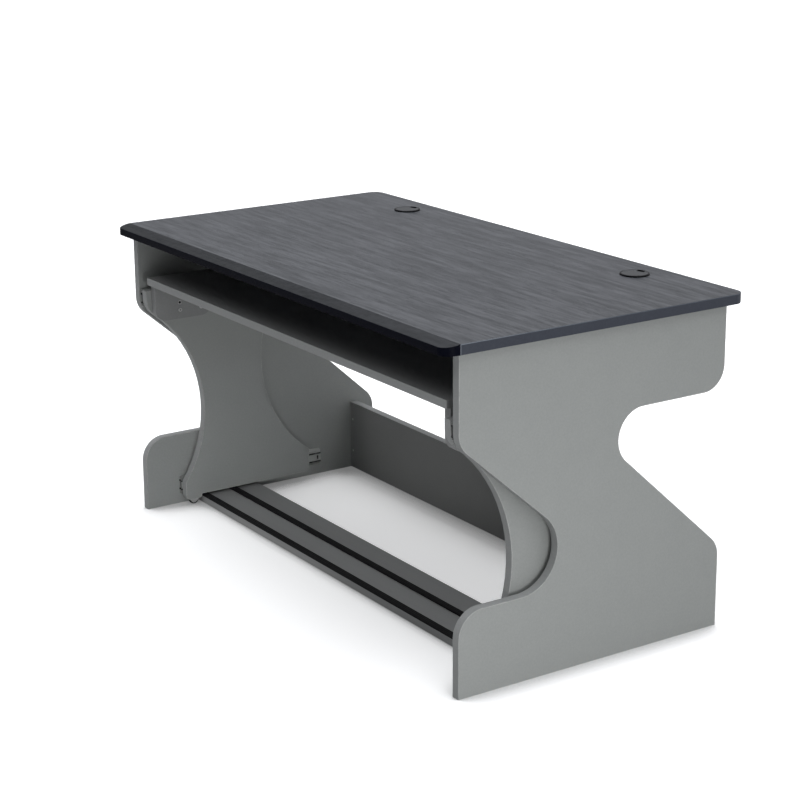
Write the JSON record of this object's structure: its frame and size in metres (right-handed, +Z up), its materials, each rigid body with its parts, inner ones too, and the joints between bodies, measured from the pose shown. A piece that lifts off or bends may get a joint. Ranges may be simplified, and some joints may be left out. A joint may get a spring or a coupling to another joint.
{
  "type": "studio desk",
  "caption": "Studio desk with a bevelled worktop on cut-away side panels and a keyboard carriage that rolls out on ball-bearing slides and floor wheels",
  "frame": {"origin": "on the floor, under the middle of the desktop", "axes": "+X along the desk to the right of whoever sits at it, +Y from the front edge to the back edge, +Z up"},
  "size_m": [1.433, 0.7786, 0.754],
  "materials": {
    "worktop_laminate": "matte wood-grain laminate",
    "front_band": "satin",
    "side_band": "satin",
    "panel_laminate": "fine-grained melamine",
    "board_laminate": "fine-grained melamine",
    "panel_edging": "satin",
    "strip_rubber": "matte",
    "port_liner": "satin",
    "port_cap": "satin",
    "slide_steel": "zinc plated",
    "cage_steel": "bright",
    "ball_steel": "polished",
    "fastener_steel": "zinc plated",
    "dowel_beech": "bare",
    "nose_plastic": "satin",
    "hub_nylon": "satin",
    "wheel_rubber": "matte"
  },
  "bodies": {
    "frame": {"desktop": "worktop_laminate", "front_edge_band": "front_band", "side_edge_band": "side_band", "left_side_panel": "panel_laminate", "right_side_panel": "panel_laminate", "left_side_panel_edging": "panel_edging", "right_side_panel_edging": "panel_edging", "back_panel": "board_laminate", "back_panel_edging": "panel_edging", "stretcher_rail": "board_laminate", "pedal_board": "board_laminate", "front_tread_strip": "strip_rubber", "rear_tread_strip": "strip_rubber", "left_grommet_liner": "port_liner", "right_grommet_liner": "port_liner", "desktop_brackets": "fastener_steel", "bracket_screws": "fastener_steel", "joint_dowels": "dowel_beech", "back_panel_cams": "fastener_steel", "left_upper_outer_slide": "slide_steel", "left_lower_outer_slide": "slide_steel", "right_upper_outer_slide": "slide_steel", "right_lower_outer_slide": "slide_steel", "outer_slide_screws": "fastener_steel"},
    "carriage": {"left_upper_inner_slide": "slide_steel", "left_lower_inner_slide": "slide_steel", "right_upper_inner_slide": "slide_steel", "right_lower_inner_slide": "slide_steel", "inner_slide_screws": "fastener_steel", "slide_noses": "nose_plastic", "left_carriage_panel": "panel_laminate", "right_carriage_panel": "panel_laminate", "left_carriage_panel_edging": "panel_edging", "right_carriage_panel_edging": "panel_edging", "keyboard_shelf": "board_laminate", "keyboard_shelf_edging": "panel_edging", "left_shelf_cheek": "board_laminate", "right_shelf_cheek": "board_laminate", "shelf_dowels": "dowel_beech", "cheek_bolts": "fastener_steel", "cheek_bushes": "fastener_steel", "left_wheel_fork": "fastener_steel", "right_wheel_fork": "fastener_steel", "wheel_axles": "fastener_steel"},
    "middle_slides": {"left_upper_middle_slide": "slide_steel", "left_lower_middle_slide": "slide_steel", "right_upper_middle_slide": "slide_steel", "right_lower_middle_slide": "slide_steel"},
    "outer_cages": {"outer_ball_cages": "cage_steel", "outer_balls": "ball_steel"},
    "inner_cages": {"inner_ball_cages": "cage_steel", "inner_balls": "ball_steel"},
    "left_wheel": {"left_wheel_hub": "hub_nylon", "left_wheel_tyre": "wheel_rubber"},
    "right_wheel": {"right_wheel_hub": "hub_nylon", "right_wheel_tyre": "wheel_rubber"},
    "left_cap": {"left_grommet_cap": "port_cap"},
    "right_cap": {"right_grommet_cap": "port_cap"}
  },
  "joints": [
    {"name": "carriage_slide", "type": "slide", "parent": "frame", "child": "carriage", "axis": [0, -1, 0], "range_m": [0, 0.4]},
    {"name": "middle_slide", "type": "slide", "parent": "frame", "child": "middle_slides", "axis": [0, -1, 0], "range_m": [0, 0.2]},
    {"name": "outer_cage_slide", "type": "slide", "parent": "frame", "child": "outer_cages", "axis": [0, -1, 0], "range_m": [0, 0.1]},
    {"name": "inner_cage_slide", "type": "slide", "parent": "frame", "child": "inner_cages", "axis": [0, -1, 0], "range_m": [0, 0.3]},
    {"name": "left_wheel_spin", "type": "hinge", "parent": "carriage", "child": "left_wheel", "pos_m": [-0.6615, -0.22725, 0.0135], "axis": [1, 0, 0], "continuous": true},
    {"name": "right_wheel_spin", "type": "hinge", "parent": "carriage", "child": "right_wheel", "pos_m": [0.6615, -0.22725, 0.0135], "axis": [1, 0, 0], "continuous": true},
    {"name": "left_cap_turn", "type": "hinge", "parent": "frame", "child": "left_cap", "pos_m": [-0.449, 0.30575, 0.75], "axis": [0, 0, 1], "continuous": true},
    {"name": "right_cap_turn", "type": "hinge", "parent": "frame", "child": "right_cap", "pos_m": [0.449, 0.30575, 0.75], "axis": [0, 0, 1], "continuous": true}
  ],
  "couplings": [
    {"joint": "middle_slide", "follows": "carriage_slide", "ratio": 0.5},
    {"joint": "outer_cage_slide", "follows": "carriage_slide", "ratio": 0.25},
    {"joint": "inner_cage_slide", "follows": "carriage_slide", "ratio": 0.75},
    {"joint": "left_wheel_spin", "follows": "carriage_slide", "rad_per_m": 74.074},
    {"joint": "right_wheel_spin", "follows": "carriage_slide", "rad_per_m": 74.074}
  ]
}
